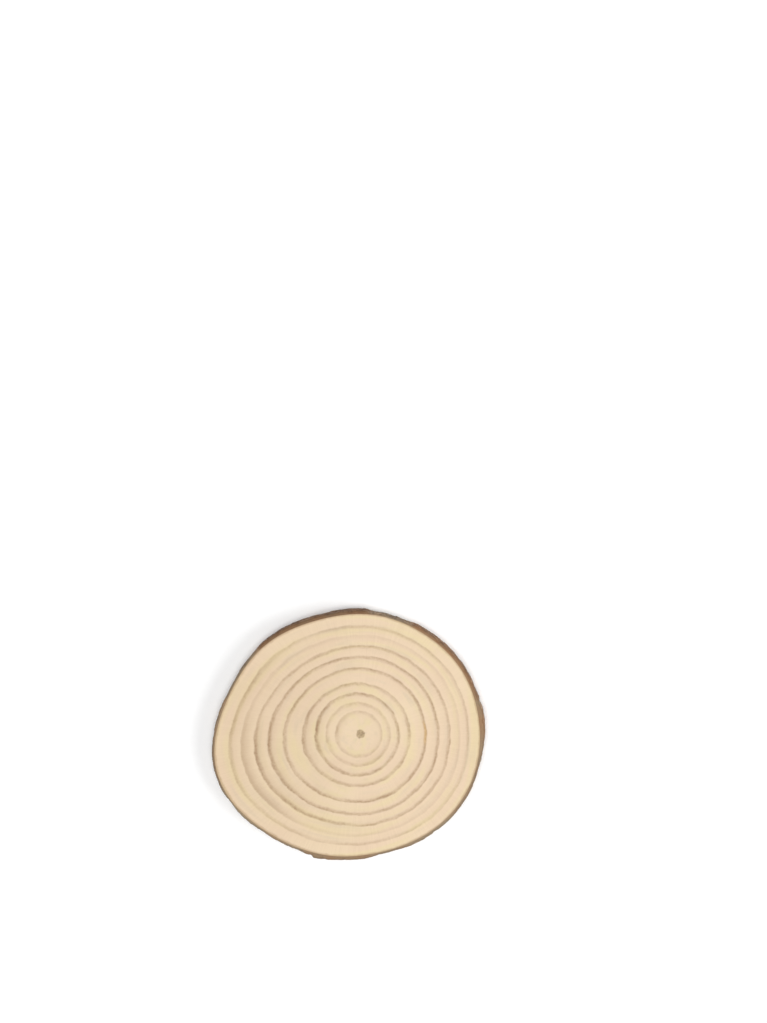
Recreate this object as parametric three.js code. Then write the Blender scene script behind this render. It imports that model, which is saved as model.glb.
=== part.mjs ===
// A slice sawn square across a softwood stem, with its thin bark still on.
// Millimetres, +Z up along the stem. The origin is the pith on the sawn underside, and +X runs
// along the slice's longer way. Angles run anticlockwise from +X, seen from above.

import * as THREE from 'three';

const { degToRad, euclideanModulo, smoothstep } = THREE.MathUtils;

// The two sawn faces are flat and parallel, this far apart.
const THICKNESS = 6.0;
// The sawn edges are broken by this much all round.
const EDGE_BREAK = 0.25;

// Wood radius under the bark, from the pith, at every sixteenth of a turn. The stem grew
// faster on one side, so the pith lies off the middle and a shoulder stands out beside 200 degrees.
const WOOD_RADII = [
  44.6, 44.6, 44.8, 44.7, 45.3, 45.8, 48.5, 50.3, 54.1, 55.6, 51.9, 48.8, 46.4, 45.1, 45.3, 45.0,
];

// Bark is a thin skin with plates standing on it. A plate covers the stem's edge between two
// angles in degrees. It rises from nothing at the first and falls back to nothing at the second,
// each over the ramp, unless it has a rise or a fall of its own. Where two plates meet, their
// ramps overlap.
const BARK_SKIN = 0.45;
const PLATE_RAMP = 6;
const BARK_PLATES = [
  { from: -20, to: 22, height: 1.45, rise: 26, fall: 12 },
  { from: 15, to: 68, height: 0.65, rise: 3 },
  { from: 83, to: 143, height: 0.7 },
  { from: 137, to: 169, height: 0.3 },
  { from: 163, to: 185, height: 0.5 },
  { from: 179, to: 209, height: 0.3 },
  { from: 209, to: 246, height: 0.45 },
  { from: 240, to: 278, height: 0.85 },
  { from: 248, to: 262, height: 0.85, rise: 1.5, fall: 14 },
  { from: 272, to: 295, height: 0.4 },
  { from: 289, to: 323, height: 0.6 },
  { from: 317, to: 353, height: 0.45 },
];

// Enough corners that the bark's grooves and plates keep their shape.
const OUTLINE_CORNERS = 240;

const MEAN_RADIUS = WOOD_RADII.reduce((sum, radius) => sum + radius, 0) / WOOD_RADII.length;

// How strongly the wood radius swells a whole number of times in a turn, as the cosine and
// sine parts of that wave.
function swelling(times) {
  const wave = { times, cosine: 0, sine: 0 };
  WOOD_RADII.forEach((radius, i) => {
    const angle = (2 * Math.PI * i * times) / WOOD_RADII.length;
    wave.cosine += (2 * radius * Math.cos(angle)) / WOOD_RADII.length;
    wave.sine += (2 * radius * Math.sin(angle)) / WOOD_RADII.length;
  });
  return wave;
}

// Once a turn up to seven times: the most that sixteen radii can tell apart.
const SWELLINGS = [1, 2, 3, 4, 5, 6, 7].map(swelling);

// The smooth closed outline through the wood radii.
function woodRadius(angle) {
  let radius = MEAN_RADIUS;
  for (const { times, cosine, sine } of SWELLINGS) {
    radius += cosine * Math.cos(times * angle) + sine * Math.sin(times * angle);
  }
  return radius;
}

// Skin everywhere, and the height of a plate where one stands.
function barkThickness(degrees) {
  let thickness = BARK_SKIN;
  for (const { from, to, height, rise = PLATE_RAMP, fall = PLATE_RAMP } of BARK_PLATES) {
    const past = euclideanModulo(degrees - from, 360);
    const left = to - from - past;
    thickness += height * smoothstep(past, 0, rise) * smoothstep(left, 0, fall);
  }
  return thickness;
}

// The slice's outline round the outside of the bark.
function barkOutline() {
  const outline = [];
  for (let corner = 0; corner < OUTLINE_CORNERS; corner += 1) {
    const degrees = (360 * corner) / OUTLINE_CORNERS;
    const angle = degToRad(degrees);
    const radius = woodRadius(angle) + barkThickness(degrees);
    outline.push(new THREE.Vector2(radius * Math.cos(angle), radius * Math.sin(angle)));
  }
  return new THREE.Shape(outline);
}

// Wood and bark grew as one piece, so the slice is one solid. Its material has the tone of
// the sawn faces, which are nearly all of what shows.
function woodSlice() {
  const geometry = new THREE.ExtrudeGeometry(barkOutline(), {
    depth: THICKNESS - 2 * EDGE_BREAK,
    bevelThickness: EDGE_BREAK,
    bevelSize: EDGE_BREAK,
    bevelOffset: -EDGE_BREAK,
    bevelSegments: 1,
  });
  const paleSoftwood = new THREE.MeshStandardMaterial({ color: '#e5cdad', roughness: 0.8, metalness: 0 });
  const slice = new THREE.Mesh(geometry, paleSoftwood);
  slice.name = 'wood_slice';
  slice.position.z = EDGE_BREAK;
  return slice;
}

const part = new THREE.Group();
part.add(woodSlice());

export default part;
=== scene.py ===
"""A slice sawn across a softwood stem: growth rings, pith and a thin, flaky bark.

The slice is one closed mesh, built in rows that run from the pith of the top face, out over the
bark, down the wall and back in to the pith of the underside. Lengths are in metres, and angles
run anticlockwise from +X, seen from above. A growth radius is the mean radius that the stem had
when a piece of wood grew, so that every ring has one growth radius all the way round.
"""

import math

import bpy
import numpy as np
from mathutils import Matrix, Vector


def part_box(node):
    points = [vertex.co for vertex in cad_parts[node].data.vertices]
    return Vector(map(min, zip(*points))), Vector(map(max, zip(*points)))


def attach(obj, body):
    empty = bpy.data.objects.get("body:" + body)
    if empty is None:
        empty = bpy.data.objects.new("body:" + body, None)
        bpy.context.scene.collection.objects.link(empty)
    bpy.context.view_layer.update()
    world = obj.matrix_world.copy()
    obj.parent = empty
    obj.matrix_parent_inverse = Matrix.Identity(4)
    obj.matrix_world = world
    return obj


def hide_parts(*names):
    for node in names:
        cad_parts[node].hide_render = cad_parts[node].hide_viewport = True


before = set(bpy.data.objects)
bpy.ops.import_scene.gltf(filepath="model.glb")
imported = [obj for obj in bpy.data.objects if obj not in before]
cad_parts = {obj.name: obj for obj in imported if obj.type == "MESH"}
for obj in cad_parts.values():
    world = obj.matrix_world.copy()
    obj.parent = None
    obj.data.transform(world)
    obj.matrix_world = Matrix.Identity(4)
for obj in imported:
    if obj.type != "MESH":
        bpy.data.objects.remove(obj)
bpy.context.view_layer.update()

MM = 0.001
FLOOR_LEVEL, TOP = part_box("wood_slice")[0][2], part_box("wood_slice")[1][2]
THICKNESS = TOP - FLOOR_LEVEL

# The stem's outline at two ages, as radii from the pith at every sixteenth of a turn.
WOOD_RADII = MM * np.array(
    [44.6, 44.6, 44.8, 44.7, 45.3, 45.8, 48.5, 50.3, 54.1, 55.6, 51.9, 48.8, 46.4, 45.1, 45.3, 45.0]
)
SEVENTH_RING_RADII = MM * np.array(
    [33.3, 33.3, 33.4, 33.3, 33.2, 33.3, 34.2, 36.4, 39.2, 39.9, 38.0, 35.9, 34.9, 34.4, 34.1, 33.7]
)
# At the third ring the stem was still round, but already off its pith.
THIRD_RING_RADIUS = 15.5 * MM
THIRD_RING_SHIFT = 1.2 * MM
THIRD_RING_TOWARDS = math.radians(190)

# Each ring's growth radius where it ends, how dark its line is, how dark the band of latewood
# inside the line gets on its strong side, and which way that side faces, in degrees.
RINGS = [
    (8.5 * MM, 0.42, 0.45, 160),
    (11.8 * MM, 0.42, 0.30, 300),
    (15.5 * MM, 0.92, 0.50, 175),
    (19.6 * MM, 0.72, 0.55, 185),
    (25.8 * MM, 0.85, 0.15, 290),
    (30.7 * MM, 0.88, 0.65, 195),
    (35.0 * MM, 0.76, 0.70, 205),
    (39.1 * MM, 0.20, 1.05, 200),
    (42.8 * MM, 0.47, 0.45, 165),
]

# Thin bark skin with plates on it: from and to in degrees, the height above the skin, the ramps
# in degrees over which the plate rises and falls, how red its bark is, and how dark, which is its
# own colour and partly painted shadow, most on the plate from 83 to 143 degrees. Where two plates
# meet, their ramps overlap.
BARK_SKIN = 0.45 * MM
BARK_PLATES = [
    (-20, 22, 1.45 * MM, 26, 12, 0.7, 0.1),
    (15, 68, 0.65 * MM, 3, 6, 0.9, 0.2),
    (83, 143, 0.7 * MM, 6, 6, 0.8, 0.5),
    (137, 169, 0.3 * MM, 6, 6, 0.1, 0.2),
    (163, 185, 0.5 * MM, 6, 6, 0.3, 0.1),
    (179, 209, 0.3 * MM, 6, 6, 0.1, 0.2),
    (209, 246, 0.45 * MM, 6, 6, 0.0, 0.0),
    (240, 278, 0.85 * MM, 6, 6, 0.4, 0.2),
    (248, 262, 0.85 * MM, 1.5, 14, 0.4, 0.2),
    (272, 295, 0.4 * MM, 6, 6, 0.1, 0.1),
    (289, 323, 0.6 * MM, 6, 6, 0.1, 0.0),
    (317, 353, 0.45 * MM, 6, 6, 0.2, 0.1),
]
SKIN_REDNESS = 0.1

COLUMNS = 1200
WALL_ROWS = 24


def smoothstep(value, low, high):
    share = np.clip((value - low) / (high - low), 0, 1)
    return share * share * (3 - 2 * share)


# ---------------------------------------------------------------- growth


def smooth_outline(radii, angle):
    """The smooth closed outline through the radii: a circle with one to seven swellings a turn."""
    turns = 2 * math.pi * np.arange(len(radii)) / len(radii)
    radius = np.mean(radii) + 0 * angle
    for times in range(1, len(radii) // 2):
        cosine = 2 * np.mean(radii * np.cos(times * turns))
        sine = 2 * np.mean(radii * np.sin(times * turns))
        radius = radius + cosine * np.cos(times * angle) + sine * np.sin(times * angle)
    return radius


def pith_point(angle):
    return 0 * angle


def third_ring(angle):
    return THIRD_RING_RADIUS + THIRD_RING_SHIFT * np.cos(angle - THIRD_RING_TOWARDS)


def seventh_ring(angle):
    return smooth_outline(SEVENTH_RING_RADII, angle)


def wood_edge(angle):
    return smooth_outline(WOOD_RADII, angle)


MEAN_RADIUS = float(np.mean(WOOD_RADII))
AGES = [
    (0.0, pith_point),
    (THIRD_RING_RADIUS, third_ring),
    (float(np.mean(SEVENTH_RING_RADII)), seventh_ring),
    (MEAN_RADIUS, wood_edge),
]


# The waves of uneven growth: how strong each is, how many swings it makes in a turn, where it
# starts, and how it turns as the stem grows.
WOBBLES = [(0.35, 7, 1.3, 1.0), (0.35, 11, 4.1, -1.4), (0.3, 17, 2.2, 2.1), (0.25, 29, 0.4, -2.9)]
WOBBLE_REACH = 0.15 * MM


def wobble(angle, growth):
    """Small uneven growth, which neighbouring rings share. The pith and the edge have none."""
    drift = growth / (12 * MM)
    swing = 0
    for share, count, phase, turning in WOBBLES:
        swing = swing + share * np.sin(count * angle + phase + turning * drift)
    fade = smoothstep(growth, 4 * MM, 20 * MM) * smoothstep(MEAN_RADIUS - growth, 0, 4 * MM)
    return WOBBLE_REACH * swing * fade


def growth_radius(growth, angle):
    """The radius at an angle of the wood that grew at a growth radius."""
    for (young, inner), (old, outer) in zip(AGES, AGES[1:]):
        if growth <= old:
            break
    share = (growth - young) / (old - young)
    return (1 - share) * inner(angle) + share * outer(angle) + wobble(angle, growth)


# ---------------------------------------------------------------- bark


def plates_at(degrees):
    """Height of the bark plates above the skin, how red the bark is, and how dark, partly painted
    shadow.
    """
    height = np.zeros_like(degrees)
    redness = np.full_like(degrees, SKIN_REDNESS)
    darkness_and_shadow = np.zeros_like(degrees)
    for start, end, full, rise, fall, red, dark in BARK_PLATES:
        past = np.mod(degrees - start, 360)
        inside = smoothstep(past, 0, rise) * smoothstep(end - start - past, 0, fall)
        height += full * inside
        redness = np.maximum(redness, red * inside)
        darkness_and_shadow = np.maximum(darkness_and_shadow, dark * inside)
    return height, redness, darkness_and_shadow


# How many waves in a turn make up each unevenness of the bark.
LEAN_WAVES = (5, 13, 29)
FRAY_WAVES = (7, 17, 41, 73)
CRACK_WAVES = (37, 59, 83)
JAG_WAVES = (61, 97, 149, 233)
CRUMB_WAVES = (173, 251, 367)
FIBRE_WAVES = (311, 407, 523)


def waver(angle, level, counts, phase):
    """An uneven wave round the stem, about -1 to 1, whose parts lean to and fro along the stem."""
    total = 0
    for i, count in enumerate(counts):
        lean = (-1) ** i * (0.5 + 0.4 * i) / (2 * MM)
        total = total + np.sin(count * angle + phase * (i + 1) + lean * level)
    return total / len(counts)


FLAKE_COUNT = 420
FLAKE_SEED = 11


def make_flakes():
    """Papery flakes of bark: angle, level, half width, half height, lift and tone."""
    chance = np.random.default_rng(FLAKE_SEED)
    flakes = []
    for _ in range(FLAKE_COUNT):
        flakes.append(
            (
                chance.uniform(0, 2 * math.pi),
                chance.uniform(-0.2, 1.2) * THICKNESS,
                chance.uniform(1.2, 4.5) * MM,
                chance.uniform(0.8, 3.2) * MM,
                chance.uniform(0.08, 0.30) * MM,
                chance.uniform(0, 1),
            )
        )
    return flakes


FLAKES = make_flakes()
# How far in from its rim a flake slopes up, as a share of its half width.
FLAKE_EDGE = 0.22


def flake_relief(angle, level):
    """How far the flakes stand out, the tone of the one on top, and how near its edge is, for
    painted shadow.
    """
    height = np.zeros_like(angle)
    tone = np.full_like(angle, 0.5)
    edge = np.zeros_like(angle)
    jag = 0.16 * waver(angle, level, JAG_WAVES, 1.7)
    for at, centre, half_width, half_height, lift, shade in FLAKES:
        around = np.mod(angle - at + math.pi, 2 * math.pi) - math.pi
        across = around * MEAN_RADIUS / half_width
        up = (level - centre) / half_height
        reach = 1 - np.sqrt(across**2 + up**2) + jag
        rise = lift * smoothstep(reach, 0, FLAKE_EDGE) * (1 + 0.35 * across)
        covers = rise > height
        tone = np.where(covers & (reach > 0.5 * FLAKE_EDGE), shade, tone)
        # A painted shadow along the inner side of the top flake's edge.
        edge = np.where(covers, 1 - smoothstep(reach, 0.2 * FLAKE_EDGE, 1.2 * FLAKE_EDGE), edge)
        height = np.maximum(height, rise)
    return height, tone, edge


FIBRE_RELIEF = 0.03 * MM
CRACK_DEPTH = 0.18 * MM
FRAYED_BAND = 0.7 * MM
THINNEST_BARK = 0.25 * MM


def bark_surface(angle, level):
    """Bark thickness on the wall, and what the bark's material needs to know there."""
    lean = 1.4 * waver(angle, level, LEAN_WAVES, 0.9) * (level / THICKNESS - 0.5)
    plates, redness, darkness_and_shadow = plates_at(np.degrees(angle) + lean)
    flakes, tone, edge = flake_relief(angle, level)
    cracks = np.abs(waver(angle, level, CRACK_WAVES, 2.6)) ** 0.5
    fibres = waver(angle, 0.2 * level, FIBRE_WAVES, 0.4)
    thickness = BARK_SKIN + plates + flakes + FIBRE_RELIEF * fibres
    thickness = thickness - CRACK_DEPTH * (1 - smoothstep(cracks, 0.0, 0.45))
    # The saw frays the bark next to both faces, more in some places than in others.
    fray = smoothstep(waver(angle, 0 * level, FRAY_WAVES, 3.1), 0.1, 0.8)
    to_face = np.minimum(level, THICKNESS - level)
    thickness = thickness * (1 - (0.1 + 0.3 * fray) * (1 - smoothstep(to_face, 0, FRAYED_BAND)))
    # Painted shade: the bark is coloured darker where no flake or plate covers the skin, in the
    # cracks, and along flake edges.
    covered = smoothstep(flakes + 0.3 * plates, 0.0, 0.16 * MM) * smoothstep(cracks, 0.05, 0.5)
    painted_groove_shade = np.maximum(1 - covered, 0.7 * edge)
    look = {"painted_groove_shade": painted_groove_shade, "flake_tone": tone, "redness": redness, "darkness_and_shadow": darkness_and_shadow}
    return np.maximum(thickness, THINNEST_BARK), look


# ---------------------------------------------------------------- the mesh, row by row


# What the materials need to know at each point, and what it is where a row doesn't say: the growth
# radius, how much bark lies outside the point, how much painted shade it gets in cracks, hollows and
# by flake edges, its flake's tone, and how red its bark is and how dark, which is partly painted
# shadow.
FACTS = {
    "growth": MEAN_RADIUS,
    "bark_left": 0.0,
    "painted_groove_shade": 0.0,
    "flake_tone": 0.5,
    "redness": SKIN_REDNESS,
    "darkness_and_shadow": 0.0,
}


class Row:
    """One loop of vertices round the stem, and the facts that the materials need at each."""

    def __init__(self, radius, angle, level, **facts):
        self.columns = len(angle)
        place = [radius * np.cos(angle), radius * np.sin(angle), level + 0 * angle]
        self.points = np.stack(place, axis=1)
        self.facts = {name: facts.get(name, usual) + 0 * angle for name, usual in FACTS.items()}


def angles(columns):
    return 2 * math.pi * np.arange(columns) / columns


def columns_at(growth):
    """Enough columns for even faces: half as many each time the stem is half as wide."""
    if growth > 0.5 * MEAN_RADIUS:
        return COLUMNS // 2
    if growth > 0.2 * MEAN_RADIUS:
        return COLUMNS // 4
    return COLUMNS // 8


# Growth radii of a face's rows inside the first ring, in millimetres, closest at the pith.
PITH_ROWS = (0.3, 0.6, 0.9, 1.2, 1.5, 1.8, 2.1, 2.6, 3.6, 5.0, 7.2)
# How far inside the wood's edge a face's last row lies, where the bark's rim takes over.
RIM_MARGIN = 0.4 * MM


def face_samples():
    """Growth radii of a face's rows, and how far each is sunk. The pith has sunk the most."""
    shrunk, worn, proud = 0.14 * MM, 0.06 * MM, 0.015 * MM
    samples = []
    for growth in PITH_ROWS:
        samples.append((growth * MM, worn + shrunk * (1 - smoothstep(growth, 0.5, 1.9))))
    ends = [ring[0] for ring in RINGS] + [MEAN_RADIUS - RIM_MARGIN]
    samples.append((ends[0], proud))
    for inner, outer in zip(ends, ends[1:]):
        samples.append((inner + 0.4 * MM, worn))
        samples.append(((inner + outer) / 2, worn))
        samples.append((outer - 1.2 * MM, 0.8 * worn))
        samples.append((outer, proud))
    return samples


def face(level, inwards):
    """A sawn face as rows: inwards is -1 for the top, which sinks down, and 1 for the underside."""
    rows = []
    for growth, sunk in face_samples():
        angle = angles(columns_at(growth))
        rows.append(Row(growth_radius(growth, angle), angle, level + inwards * sunk, growth=growth))
    return rows


# Where a rim's rows lie, as shares of the bark's thickness.
RIM_ROWS = (0.0, 0.25, 0.5, 0.75, 0.92)


def bark_rim(level, inwards):
    """The sawn edge of the bark, from the wood out to just inside the wall."""
    angle = angles(COLUMNS)
    wood = wood_edge(angle)
    thickness, look = bark_surface(angle, level - FLOOR_LEVEL + 0 * angle)
    crumbs = 1 + waver(angle, 0 * angle, CRUMB_WAVES, 0.6)
    rows = []
    for share in RIM_ROWS:
        crumbled = 0.05 * MM * share * crumbs
        place = (wood + share * thickness, angle, level + inwards * crumbled)
        rows.append(Row(*place, bark_left=(1 - share) * thickness, **look))
    return rows


def wall():
    """The outside of the bark, from the top edge down to the bottom one."""
    angle = angles(COLUMNS)
    wood = wood_edge(angle)
    arris = 0.12 * MM
    rows = []
    for level in np.linspace(THICKNESS - arris, arris, WALL_ROWS):
        thickness, look = bark_surface(angle, level + 0 * angle)
        rows.append(Row(wood + thickness, angle, FLOOR_LEVEL + level, **look))
    return rows


# The two corners at the pith, which belong to no row.
TOP_PITH, UNDER_PITH = ("pith", 0), ("pith", 1)


def stitch(rows):
    """Faces between neighbouring rows, as (row, column) corners. The piths close the ends."""
    faces = []
    for i in range(len(rows) - 1):
        above, below = rows[i].columns, rows[i + 1].columns
        if above == below:
            for j in range(above):
                faces.append(((i, j), (i + 1, j), (i + 1, j + 1), (i, j + 1)))
        elif below == 2 * above:
            for j in range(above):
                faces.append(((i, j), (i + 1, 2 * j), (i + 1, 2 * j + 1)))
                faces.append(((i, j), (i + 1, 2 * j + 1), (i, j + 1)))
                faces.append(((i, j + 1), (i + 1, 2 * j + 1), (i + 1, 2 * j + 2)))
        else:
            for j in range(below):
                faces.append(((i, 2 * j), (i + 1, j), (i, 2 * j + 1)))
                faces.append(((i, 2 * j + 1), (i + 1, j), (i + 1, j + 1)))
                faces.append(((i, 2 * j + 1), (i + 1, j + 1), (i, 2 * j + 2)))
    last = len(rows) - 1
    fan = [(TOP_PITH, (0, j), (0, j + 1)) for j in range(rows[0].columns)]
    under = [(UNDER_PITH, (last, j + 1), (last, j)) for j in range(rows[last].columns)]
    return fan + faces + under


def vertex_numbering(rows):
    """A function that turns a (row, column) corner into its vertex's number."""
    starts = np.cumsum([0] + [row.columns for row in rows])

    def number(corner):
        row, column = corner
        if row == "pith":
            return int(starts[-1]) + column
        return int(starts[row]) + column % rows[row].columns

    return number


def all_points(rows):
    """Every vertex: those of the rows, and then the two at the pith."""
    pith_sunk = face_samples()[0][1]
    piths = [[0, 0, TOP - pith_sunk], [0, 0, FLOOR_LEVEL + pith_sunk]]
    return np.concatenate([row.points for row in rows] + [piths])


def rows_touched(corners):
    """The first and last row that a face touches, apart from a corner at the pith."""
    touched = [row for row, _ in corners if row != "pith"]
    return min(touched), max(touched)


# Where each part of the surface lies on the bake map: two discs, as centre and radius, in
# opposite corners, and the wall in strips in a third corner.
TOP_DISC = (0.335, 0.335, 0.328)
UNDER_DISC = (0.745, 0.745, 0.248)
WALL_STRIPS = 5
STRIP_CORNER = (0.01, 0.69)
STRIP_SIZE = (0.46, 0.045)
STRIP_PITCH = 0.06


def disc_map(point, disc, middle, reach):
    """Where a point of a sawn face lies on the bake map."""
    centre_u, centre_v, radius = disc
    return (
        centre_u + radius * (point[0] - middle[0]) / reach,
        centre_v + radius * (point[1] - middle[1]) / reach,
    )


def strip_map(turn, depth, strip):
    """Where a point of the wall lies on the bake map. Turn and depth are shares of the whole."""
    along = turn * WALL_STRIPS - strip
    return (
        STRIP_CORNER[0] + STRIP_SIZE[0] * along,
        STRIP_CORNER[1] + STRIP_PITCH * strip + STRIP_SIZE[1] * (1 - depth),
    )


def lay_out_bake_map(mesh, faces, points, number, wall_rows):
    """Puts each sawn face, with its rim, on its disc of the bake map, and the wall on the strips."""
    lowest, highest = points.min(axis=0), points.max(axis=0)
    middle = (lowest + highest) / 2
    reach = max(highest[:2] - lowest[:2]) / 2
    places = []
    for corners in faces:
        first, last = rows_touched(corners)
        if first in wall_rows and last in wall_rows:
            strip = min(column for _, column in corners) * WALL_STRIPS // COLUMNS
            for row, column in corners:
                depth = (row - wall_rows.start) / (len(wall_rows) - 1)
                places.append(strip_map(column / COLUMNS, depth, strip))
        else:
            disc = TOP_DISC if last <= wall_rows.start else UNDER_DISC
            for corner in corners:
                places.append(disc_map(points[number(corner)], disc, middle, reach))
    bake_map = mesh.uv_layers.new(name="OFBake").data
    bake_map.foreach_set("uv", np.array(places, dtype=np.float32).ravel())


def state_facts(mesh, rows):
    """Writes the rows' facts on the mesh as attributes. At the pith they are all 0."""
    for name in FACTS:
        attribute = mesh.attributes.new(name, "FLOAT", "POINT")
        values = np.concatenate([row.facts[name] for row in rows] + [[0.0, 0.0]])
        attribute.data.foreach_set("value", values.astype(np.float32))


# The mesh's material slots.
WOOD, BARK = 0, 1
SHARPEST_SMOOTH_EDGE = math.radians(40)


def build_slice():
    """The slice's mesh, from the pith of its top round to the pith of its underside."""
    top, top_rim = face(TOP, -1), bark_rim(TOP, -1)
    side = wall()
    under_rim, underside = bark_rim(FLOOR_LEVEL, 1)[::-1], face(FLOOR_LEVEL, 1)[::-1]
    rows = top + top_rim + side + under_rim + underside
    wall_start = len(top) + len(top_rim)
    wall_rows = range(wall_start, wall_start + len(side))
    bark_rows = range(len(top), wall_rows.stop + len(under_rim))

    number = vertex_numbering(rows)
    points = all_points(rows)
    faces = stitch(rows)
    polygons = [[number(corner) for corner in corners] for corners in faces]
    mesh = bpy.data.meshes.new("wood_slice_grown")
    mesh.from_pydata(points.tolist(), [], polygons)
    for polygon, corners in zip(mesh.polygons, faces):
        first, last = rows_touched(corners)
        polygon.material_index = BARK if first in bark_rows and last in bark_rows else WOOD
    lay_out_bake_map(mesh, faces, points, number, wall_rows)
    state_facts(mesh, rows)
    mesh.polygons.foreach_set("use_smooth", [True] * len(mesh.polygons))
    mesh.set_sharp_from_angle(angle=SHARPEST_SMOOTH_EDGE)
    mesh.update()
    slice_piece = bpy.data.objects.new("wood_slice_grown", mesh)
    bpy.context.scene.collection.objects.link(slice_piece)
    return slice_piece


# ---------------------------------------------------------------- materials


def linear(red, green, blue):
    """A colour given as 0 to 255 on a screen, as the shader's numbers."""
    def channel(value):
        value = value / 255
        return value / 12.92 if value <= 0.04045 else ((value + 0.055) / 1.055) ** 2.4

    return (channel(red), channel(green), channel(blue), 1.0)


class Shader:
    """A material's nodes. Inputs are numbers, colours or other nodes' outputs."""

    def __init__(self, name):
        self.material = bpy.data.materials.new(name)
        self.material.use_nodes = True
        self.tree = self.material.node_tree
        self.tree.nodes.clear()

    def add(self, kind, inputs, **settings):
        node = self.tree.nodes.new(kind)
        for name, value in settings.items():
            setattr(node, name, value)
        for socket, value in inputs.items():
            if isinstance(value, bpy.types.NodeSocket):
                self.tree.links.new(value, node.inputs[socket])
            else:
                node.inputs[socket].default_value = value
        return node

    def math(self, operation, first, second=0.0, third=0.0):
        inputs = {0: first, 1: second, 2: third}
        return self.add("ShaderNodeMath", inputs, operation=operation).outputs[0]

    def vector(self, operation, first, second=(0.0, 0.0, 0.0)):
        inputs = {0: first, 1: second}
        return self.add("ShaderNodeVectorMath", inputs, operation=operation).outputs[0]

    def dot(self, first, second):
        inputs = {0: first, 1: second}
        node = self.add("ShaderNodeVectorMath", inputs, operation="DOT_PRODUCT")
        return node.outputs["Value"]

    def attribute(self, name):
        return self.add("ShaderNodeAttribute", {}, attribute_name=name).outputs["Fac"]

    def ramp(self, value, low, high, to_low=0.0, to_high=1.0):
        """to_low where value is low or less, to_high where it is high or more, eased between."""
        inputs = {"Value": value, "From Min": low, "From Max": high}
        inputs |= {"To Min": to_low, "To Max": to_high}
        node = self.add("ShaderNodeMapRange", inputs, interpolation_type="SMOOTHSTEP")
        return node.outputs["Result"]

    def noise(self, place, size, detail=2.0, roughness=0.5, stretch=(1, 1, 1)):
        """Soft noise from 0 to 1, whose blobs are about size across."""
        scaled = self.vector("MULTIPLY", place, stretch)
        inputs = {"Vector": scaled, "Scale": 1 / size, "Detail": detail, "Roughness": roughness}
        return self.add("ShaderNodeTexNoise", inputs).outputs["Fac"]

    def mix(self, share, first, second):
        node = self.add("ShaderNodeMix", {}, data_type="RGBA")
        for socket, value in zip((0, 6, 7), (share, first, second)):
            if isinstance(value, bpy.types.NodeSocket):
                self.tree.links.new(value, node.inputs[socket])
            else:
                node.inputs[socket].default_value = value
        return node.outputs[2]

    def finish(self, colour, roughness, height, depth):
        """The surface itself, with its bump, which is depth deep where height runs from 0 to 1."""
        bump = self.add("ShaderNodeBump", {"Height": height, "Distance": depth, "Strength": 1.0})
        surface = self.add(
            "ShaderNodeBsdfPrincipled",
            {
                "Base Color": colour,
                "Roughness": roughness,
                "Normal": bump.outputs[0],
                "Specular IOR Level": 0.3,
            },
        )
        out = self.add("ShaderNodeOutputMaterial", {"Surface": surface.outputs[0]})
        out.is_active_output = True
        return self.material


PALE = linear(231, 209, 178)
PALE_PINK = linear(228, 203, 175)
PALE_YELLOW = linear(228, 210, 166)
PALE_DULL = linear(214, 196, 169)
GRAIN_SHADE = linear(196, 169, 137)
LATEWOOD = linear(160, 129, 97)
RESIN = linear(206, 166, 104)
CANAL = linear(150, 118, 82)
PITH_DARK = linear(142, 120, 90)
PITH_PALE = linear(182, 158, 124)
CAMBIUM = linear(172, 142, 106)

# Which way the wide rings face, the side that painted shade darkens, and which way the streak of
# resin lies.
WIDE_SIDE = (-1.0, 0.0, 0.0)
RESIN_SIDE = (1.0, 0.03, 0.0)


# How far in from its ring's end the dark line of latewood begins, and the softer band.
LINE_REACH = 1.3 * MM
BAND_REACH = 3.6 * MM


def latewood(s, growth, facing, unevenness):
    """How dark the latewood is: ring by ring, a line, and a softer band on its inner side."""
    dark = 0.0
    for end, line, band, towards in RINGS:
        heading = (math.cos(math.radians(towards)), math.sin(math.radians(towards)), 0.0)
        # 0 from about 40 degrees off the strong side, and 1 on it.
        side = s.ramp(s.dot(facing, heading), 0.77, 1.0)
        past = s.math("SUBTRACT", growth, end)
        line_rise = s.ramp(past, -LINE_REACH, 0.0)
        line_full = s.math("MULTIPLY_ADD", side, 0.05 * line, 0.5 * line)
        line_dark = s.math("MULTIPLY", s.math("MULTIPLY", line_full, line_rise), unevenness)
        band_rise = s.ramp(past, -BAND_REACH, -0.2 * MM)
        band_full = s.math("MULTIPLY_ADD", side, 0.28 * band, 0.05)
        band_dark = s.math("MULTIPLY", band_full, band_rise)
        over = s.ramp(past, 0.1 * MM, 0.75 * MM, 1.0, 0.0)
        ring_dark = s.math("MULTIPLY", s.math("ADD", line_dark, band_dark), over)
        dark = s.math("ADD", ring_dark, dark)
    return dark


def resin_streak(s, growth, facing):
    """An amber streak of resin along the fifth ring, on the narrow side."""
    near = s.ramp(s.dot(facing, RESIN_SIDE), 0.975, 0.998)
    fifth_ring = RINGS[4][0]
    off_line = s.math("ABSOLUTE", s.math("SUBTRACT", growth, fifth_ring - 0.15 * MM))
    return s.math("MULTIPLY", near, s.ramp(off_line, 0.1 * MM, 0.8 * MM, 0.5, 0.0))


def wide_side_painted_shade(s, growth, facing):
    """A touch darker inside the first rings, and painted shade that darkens the left side, where
    rings are wide.
    """
    side = s.ramp(s.dot(facing, WIDE_SIDE), -0.4, 1.0, 0.0, 0.12)
    return s.ramp(growth, 6 * MM, 20 * MM, 0.04, side)


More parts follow.
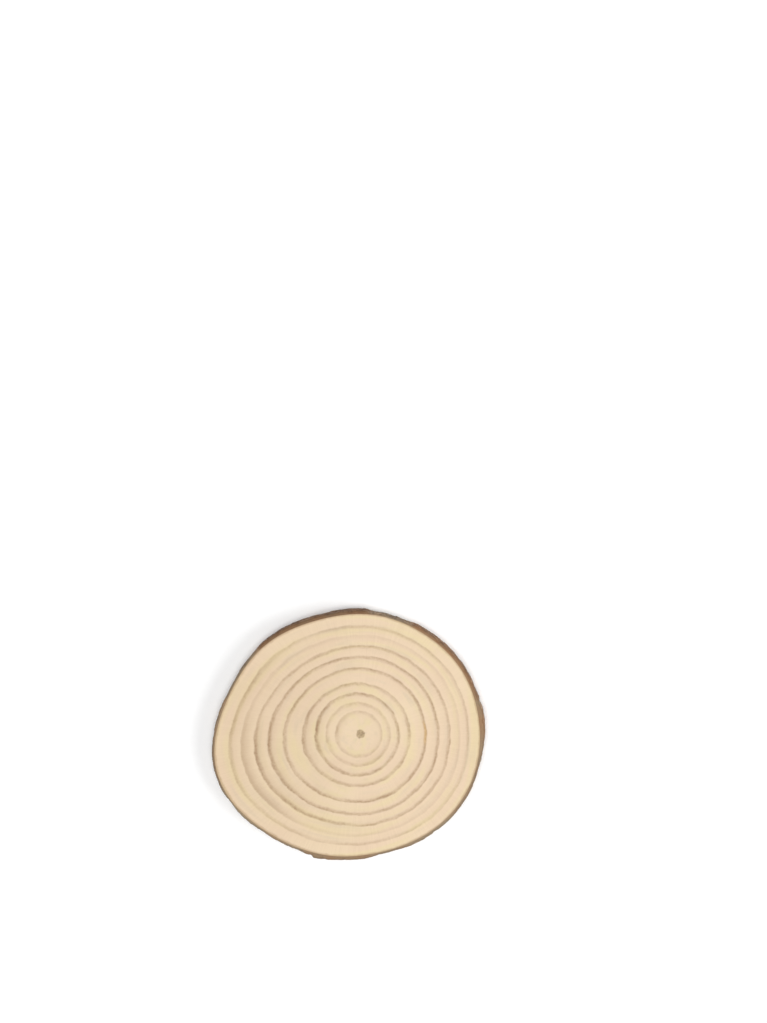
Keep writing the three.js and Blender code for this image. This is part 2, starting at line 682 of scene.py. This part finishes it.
def sawn_wood():
    """The sawn faces: pale earlywood, brown latewood lines, rays, resin canals and the pith."""
    s = Shader("sawn_softwood")
    place = s.add("ShaderNodeTexCoord", {}).outputs["Object"]
    flat = s.vector("MULTIPLY", place, (1.0, 1.0, 0.0))
    from_pith = s.add("ShaderNodeVectorMath", {0: flat}, operation="LENGTH").outputs["Value"]
    facing = s.vector("NORMALIZE", flat)

    # Growth radius, with the small unevenness of every line.
    growth = s.attribute("growth")
    waver_wide = s.math("SUBTRACT", s.noise(place, 2.4 * MM), 0.5)
    waver_fine = s.math("SUBTRACT", s.noise(place, 0.4 * MM), 0.5)
    uneven = s.math("MULTIPLY_ADD", waver_wide, 0.8 * MM, growth)
    uneven = s.math("MULTIPLY_ADD", waver_fine, 0.4 * MM, uneven)

    # A place in the wood's own grain: neighbours along a ring are close, those across it far.
    across = s.add("ShaderNodeCombineXYZ", {2: s.math("MULTIPLY", growth, 3.0)}).outputs[0]
    in_grain = s.vector("ADD", s.vector("MULTIPLY", facing, (15 * MM, 15 * MM, 0.0)), across)

    coming_and_going = s.ramp(s.noise(in_grain, 5 * MM, detail=3.0), 0.3, 0.7, 0.6, 1.5)
    beading = s.ramp(s.noise(place, 1.0 * MM), 0.3, 0.7, 0.75, 1.25)
    dark = latewood(s, uneven, facing, s.math("MULTIPLY", coming_and_going, beading))

    # Earlywood: a pale tone that turns a little pinker, yellower and duller from place to place.
    pinker = s.ramp(s.noise(place, 26 * MM, detail=3.0), 0.35, 0.65, 0.0, 0.8)
    yellower = s.ramp(s.noise(in_grain, 11 * MM, detail=2.0), 0.45, 0.7, 0.0, 0.7)
    duller = s.ramp(s.noise(in_grain, 7 * MM, detail=4.0), 0.5, 0.75, 0.0, 0.5)
    pale = s.mix(pinker, PALE, PALE_PINK)
    pale = s.mix(yellower, pale, PALE_YELLOW)
    pale = s.mix(duller, pale, PALE_DULL)
    # Painted shade on the wood's left side, away from the window lamp.
    pale = s.mix(wide_side_painted_shade(s, growth, facing), pale, LATEWOOD)

    # Rays run straight out from the pith, and cells are the finest grain.
    turned = s.vector("MULTIPLY", facing, (0.05, 0.05, 0.05))
    squeezed = s.vector("MULTIPLY", place, (0.04, 0.04, 0.2))
    rays = s.noise(s.vector("ADD", turned, squeezed), 0.35 * MM, detail=3.0, roughness=0.6)
    cells = s.noise(place, 0.12 * MM, detail=2.0)
    grain = s.math("MULTIPLY_ADD", cells, 0.3, s.math("MULTIPLY", rays, 0.7))
    pale = s.mix(s.ramp(grain, 0.3, 0.7, 0.2, 0.0), pale, GRAIN_SHADE)

    wood = s.mix(dark, pale, LATEWOOD)
    wood = s.mix(resin_streak(s, uneven, facing), wood, RESIN)

    # Resin canals: small dark dots, mostly in the latewood.
    canals = s.add("ShaderNodeTexVoronoi", {"Vector": flat, "Scale": 1 / (1.5 * MM)})
    dots = s.ramp(canals.outputs["Distance"], 0.05, 0.1, 1.0, 0.0)
    dots = s.math("MULTIPLY", dots, s.ramp(dark, 0.02, 0.4, 0.0, 0.5))
    wood = s.mix(dots, wood, CANAL)

    # The pith: a soft brown spot of coarse cells, with a ragged edge.
    rag = s.math("SUBTRACT", s.noise(place, 0.9 * MM), 0.5)
    from_ragged_pith = s.math("MULTIPLY_ADD", rag, 1.4 * MM, from_pith)
    cells_of_pith = s.ramp(s.noise(place, 0.6 * MM), 0.35, 0.65)
    pith = s.mix(cells_of_pith, PITH_DARK, PITH_PALE)
    wood = s.mix(s.ramp(from_ragged_pith, 1.3 * MM, 2.0 * MM, 0.85, 0.0), wood, pith)

    # The cambium: a darker line just under the bark.
    from_bark = s.math("SUBTRACT", MEAN_RADIUS, uneven)
    wood = s.mix(s.ramp(from_bark, 0.1 * MM, 0.9 * MM, 0.6, 0.0), wood, CAMBIUM)

    saw = s.noise(place, 0.5 * MM, detail=3.0, stretch=(0.12, 1.0, 1.0))
    height = s.math("MULTIPLY_ADD", saw, 0.6, s.math("MULTIPLY", cells, 0.4))
    roughness = s.math("MULTIPLY_ADD", dark, -0.15, s.math("MULTIPLY_ADD", saw, 0.1, 0.7))
    return s.finish(wood, roughness, height, 0.03 * MM)


# Bark comes in a grey and a red kind. The outside and the inner bark run from dark to pale.
GREY_OUTER = (linear(112, 95, 76), linear(164, 146, 122))
RED_OUTER = (linear(126, 86, 56), linear(176, 130, 94))
GREY_INNER = (linear(126, 108, 84), linear(172, 150, 122))
RED_INNER = (linear(140, 103, 72), linear(180, 142, 106))
GREY_RIM = linear(134, 118, 96)
RED_RIM = linear(142, 104, 72)
# Painted shade and painted highlight of the bark's fibres.
FIBRE_SHADE = linear(74, 52, 34)
FIBRE_LIGHT = linear(200, 178, 148)
# The colour of the painted shade in grooves, cracks and along flake edges.
GROOVE_PAINTED_SHADE = linear(74, 50, 30)
# Dark bark, which partly stands in for painted shadow.
DARK_AND_SHADOWED_BARK = linear(70, 48, 30)


def bark():
    """Brown to grey flaky bark with painted shade in its grooves, and pale inner bark on the sawn
    edge.
    """
    s = Shader("flaky_bark")
    place = s.add("ShaderNodeTexCoord", {}).outputs["Object"]
    tone = s.attribute("flake_tone")

    patches = s.ramp(s.noise(place, 9 * MM, detail=3.0), 0.3, 0.7, -0.25, 0.25)
    red = s.math("ADD", s.attribute("redness"), patches)
    red = s.math("MINIMUM", s.math("MAXIMUM", red, 0.0), 1.0)
    outer = s.mix(red, s.mix(tone, *GREY_OUTER), s.mix(tone, *RED_OUTER))
    fibres = s.noise(place, 0.5 * MM, detail=4.0, roughness=0.65, stretch=(1.0, 1.0, 0.25))
    # Painted light and shade: the fibres are coloured darker between them and lighter on them.
    shaded = s.mix(0.35, outer, FIBRE_SHADE)
    lit = s.mix(0.2, outer, FIBRE_LIGHT)
    outer = s.mix(s.ramp(fibres, 0.3, 0.7), shaded, lit)
    # Painted shade: darker in grooves, cracks and along the flakes' edges.
    outer = s.mix(s.math("MULTIPLY", s.attribute("painted_groove_shade"), 0.6), outer, GROOVE_PAINTED_SHADE)

    # On the sawn edge: a dark line along the outside, and paler inner bark next to the wood.
    inner = s.mix(red, s.mix(fibres, *GREY_INNER), s.mix(fibres, *RED_INNER))
    rim = s.mix(red, GREY_RIM, RED_RIM)
    bark_left = s.attribute("bark_left")
    sawn = s.mix(s.ramp(bark_left, 0.25 * MM, 0.6 * MM), rim, inner)
    colour = s.mix(s.ramp(bark_left, 0.0, 0.05 * MM), outer, sawn)
    # Painted shadow and darker bark, as the plates give it, most from 83 to 143 degrees.
    colour = s.mix(s.attribute("darkness_and_shadow"), colour, DARK_AND_SHADOWED_BARK)

    crumbs = s.noise(place, 0.25 * MM, detail=3.0)
    height = s.math("MULTIPLY_ADD", fibres, 0.7, s.math("MULTIPLY", crumbs, 0.3))
    roughness = s.math("MULTIPLY_ADD", crumbs, 0.12, 0.8)
    return s.finish(colour, roughness, height, 0.12 * MM)


def pale_floor_material():
    s = Shader("pale_floor")
    place = s.add("ShaderNodeTexCoord", {}).outputs["Object"]
    speckle = s.noise(place, 2 * MM)
    colour = s.mix(speckle, linear(252, 252, 252), linear(255, 255, 255))
    return s.finish(colour, 0.9, speckle, 0.01 * MM)


# ---------------------------------------------------------------- stage, light and camera


FLOOR_HALF_WIDTH = 3.0


def make_floor():
    mesh = bpy.data.meshes.new("floor")
    half = FLOOR_HALF_WIDTH
    corners = [(-half, -half), (half, -half), (half, half), (-half, half)]
    mesh.from_pydata([(x, y, FLOOR_LEVEL) for x, y in corners], [], [(0, 1, 2, 3)])
    floor = bpy.data.objects.new("floor", mesh)
    floor.data.materials.append(pale_floor_material())
    bpy.context.scene.collection.objects.link(floor)


# The room is bright up to the first height above the horizon and dim from the second, as shares
# of the way straight up.
BRIGHT_UP_TO, DIM_FROM = 0.3, 0.6
WALL_STRENGTH, CEILING_STRENGTH = 1.0, 0.08


def make_room():
    """A pale room: bright walls near the horizon and a dim ceiling. The lamps light the slice."""
    world = bpy.data.worlds.new("pale_room")
    world.use_nodes = True
    nodes, links = world.node_tree.nodes, world.node_tree.links
    split = nodes.new("ShaderNodeSeparateXYZ")
    links.new(nodes.new("ShaderNodeTexCoord").outputs["Generated"], split.inputs[0])
    fall = nodes.new("ShaderNodeMapRange")
    fall.inputs["From Min"].default_value = BRIGHT_UP_TO
    fall.inputs["From Max"].default_value = DIM_FROM
    fall.inputs["To Min"].default_value = WALL_STRENGTH
    fall.inputs["To Max"].default_value = CEILING_STRENGTH
    links.new(split.outputs["Z"], fall.inputs["Value"])
    links.new(fall.outputs["Result"], nodes["Background"].inputs["Strength"])
    nodes["Background"].inputs["Color"].default_value = (1.0, 1.0, 1.0, 1.0)
    bpy.context.scene.world = world


def make_lamp(name, towards, width, strength):
    """A round soft lamp, so far off that it lights the whole floor evenly. Width is in degrees."""
    light = bpy.data.lights.new(name, "SUN")
    light.angle = math.radians(width)
    light.energy = strength
    lamp = bpy.data.objects.new(name, light)
    lamp.rotation_euler = (-Vector(towards)).to_track_quat("-Z", "Y").to_euler()
    bpy.context.scene.collection.objects.link(lamp)


# The camera looks almost straight down from 0.7 m, leaning a little from the upright.
CAMERA_DISTANCE = 0.7
CAMERA_LEAN = math.radians(5.8)
CAMERA_LEAN_TOWARDS = Vector((0.357, 0.934, 0)).normalized()
# Where it aims, on the slice's top, counted from the pith: the slice is low in the picture.
AIM = Vector((8.6 * MM, 83.5 * MM, TOP))
# Length on the slice that the picture's long side takes in.
VIEW_HEIGHT = 0.3775


def make_camera():
    lens = bpy.data.cameras.new("camera")
    lens.sensor_fit = "VERTICAL"
    lens.sensor_height = 36.0
    lens.lens = lens.sensor_height * CAMERA_DISTANCE / VIEW_HEIGHT
    camera = bpy.data.objects.new("camera", lens)
    back = Vector((0, 0, math.cos(CAMERA_LEAN))) + math.sin(CAMERA_LEAN) * CAMERA_LEAN_TOWARDS
    right = Vector((0, 1, 0)).cross(back).normalized()
    up = back.cross(right)
    turned = Matrix((right, up, back)).transposed().to_4x4()
    camera.matrix_world = Matrix.Translation(AIM + CAMERA_DISTANCE * back) @ turned
    bpy.context.scene.collection.objects.link(camera)
    bpy.context.scene.camera = camera


make_camera()
make_room()
make_lamp("ceiling", (0.0, 0.0, 1.0), 47, 2.09)
make_lamp("window", (0.95, -0.25, 0.62), 27, 1.15)
make_floor()
piece = build_slice()
piece.data.materials.append(sawn_wood())
piece.data.materials.append(bark())
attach(piece, "root")
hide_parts("wood_slice")
bpy.context.scene.view_settings.view_transform = "Standard"
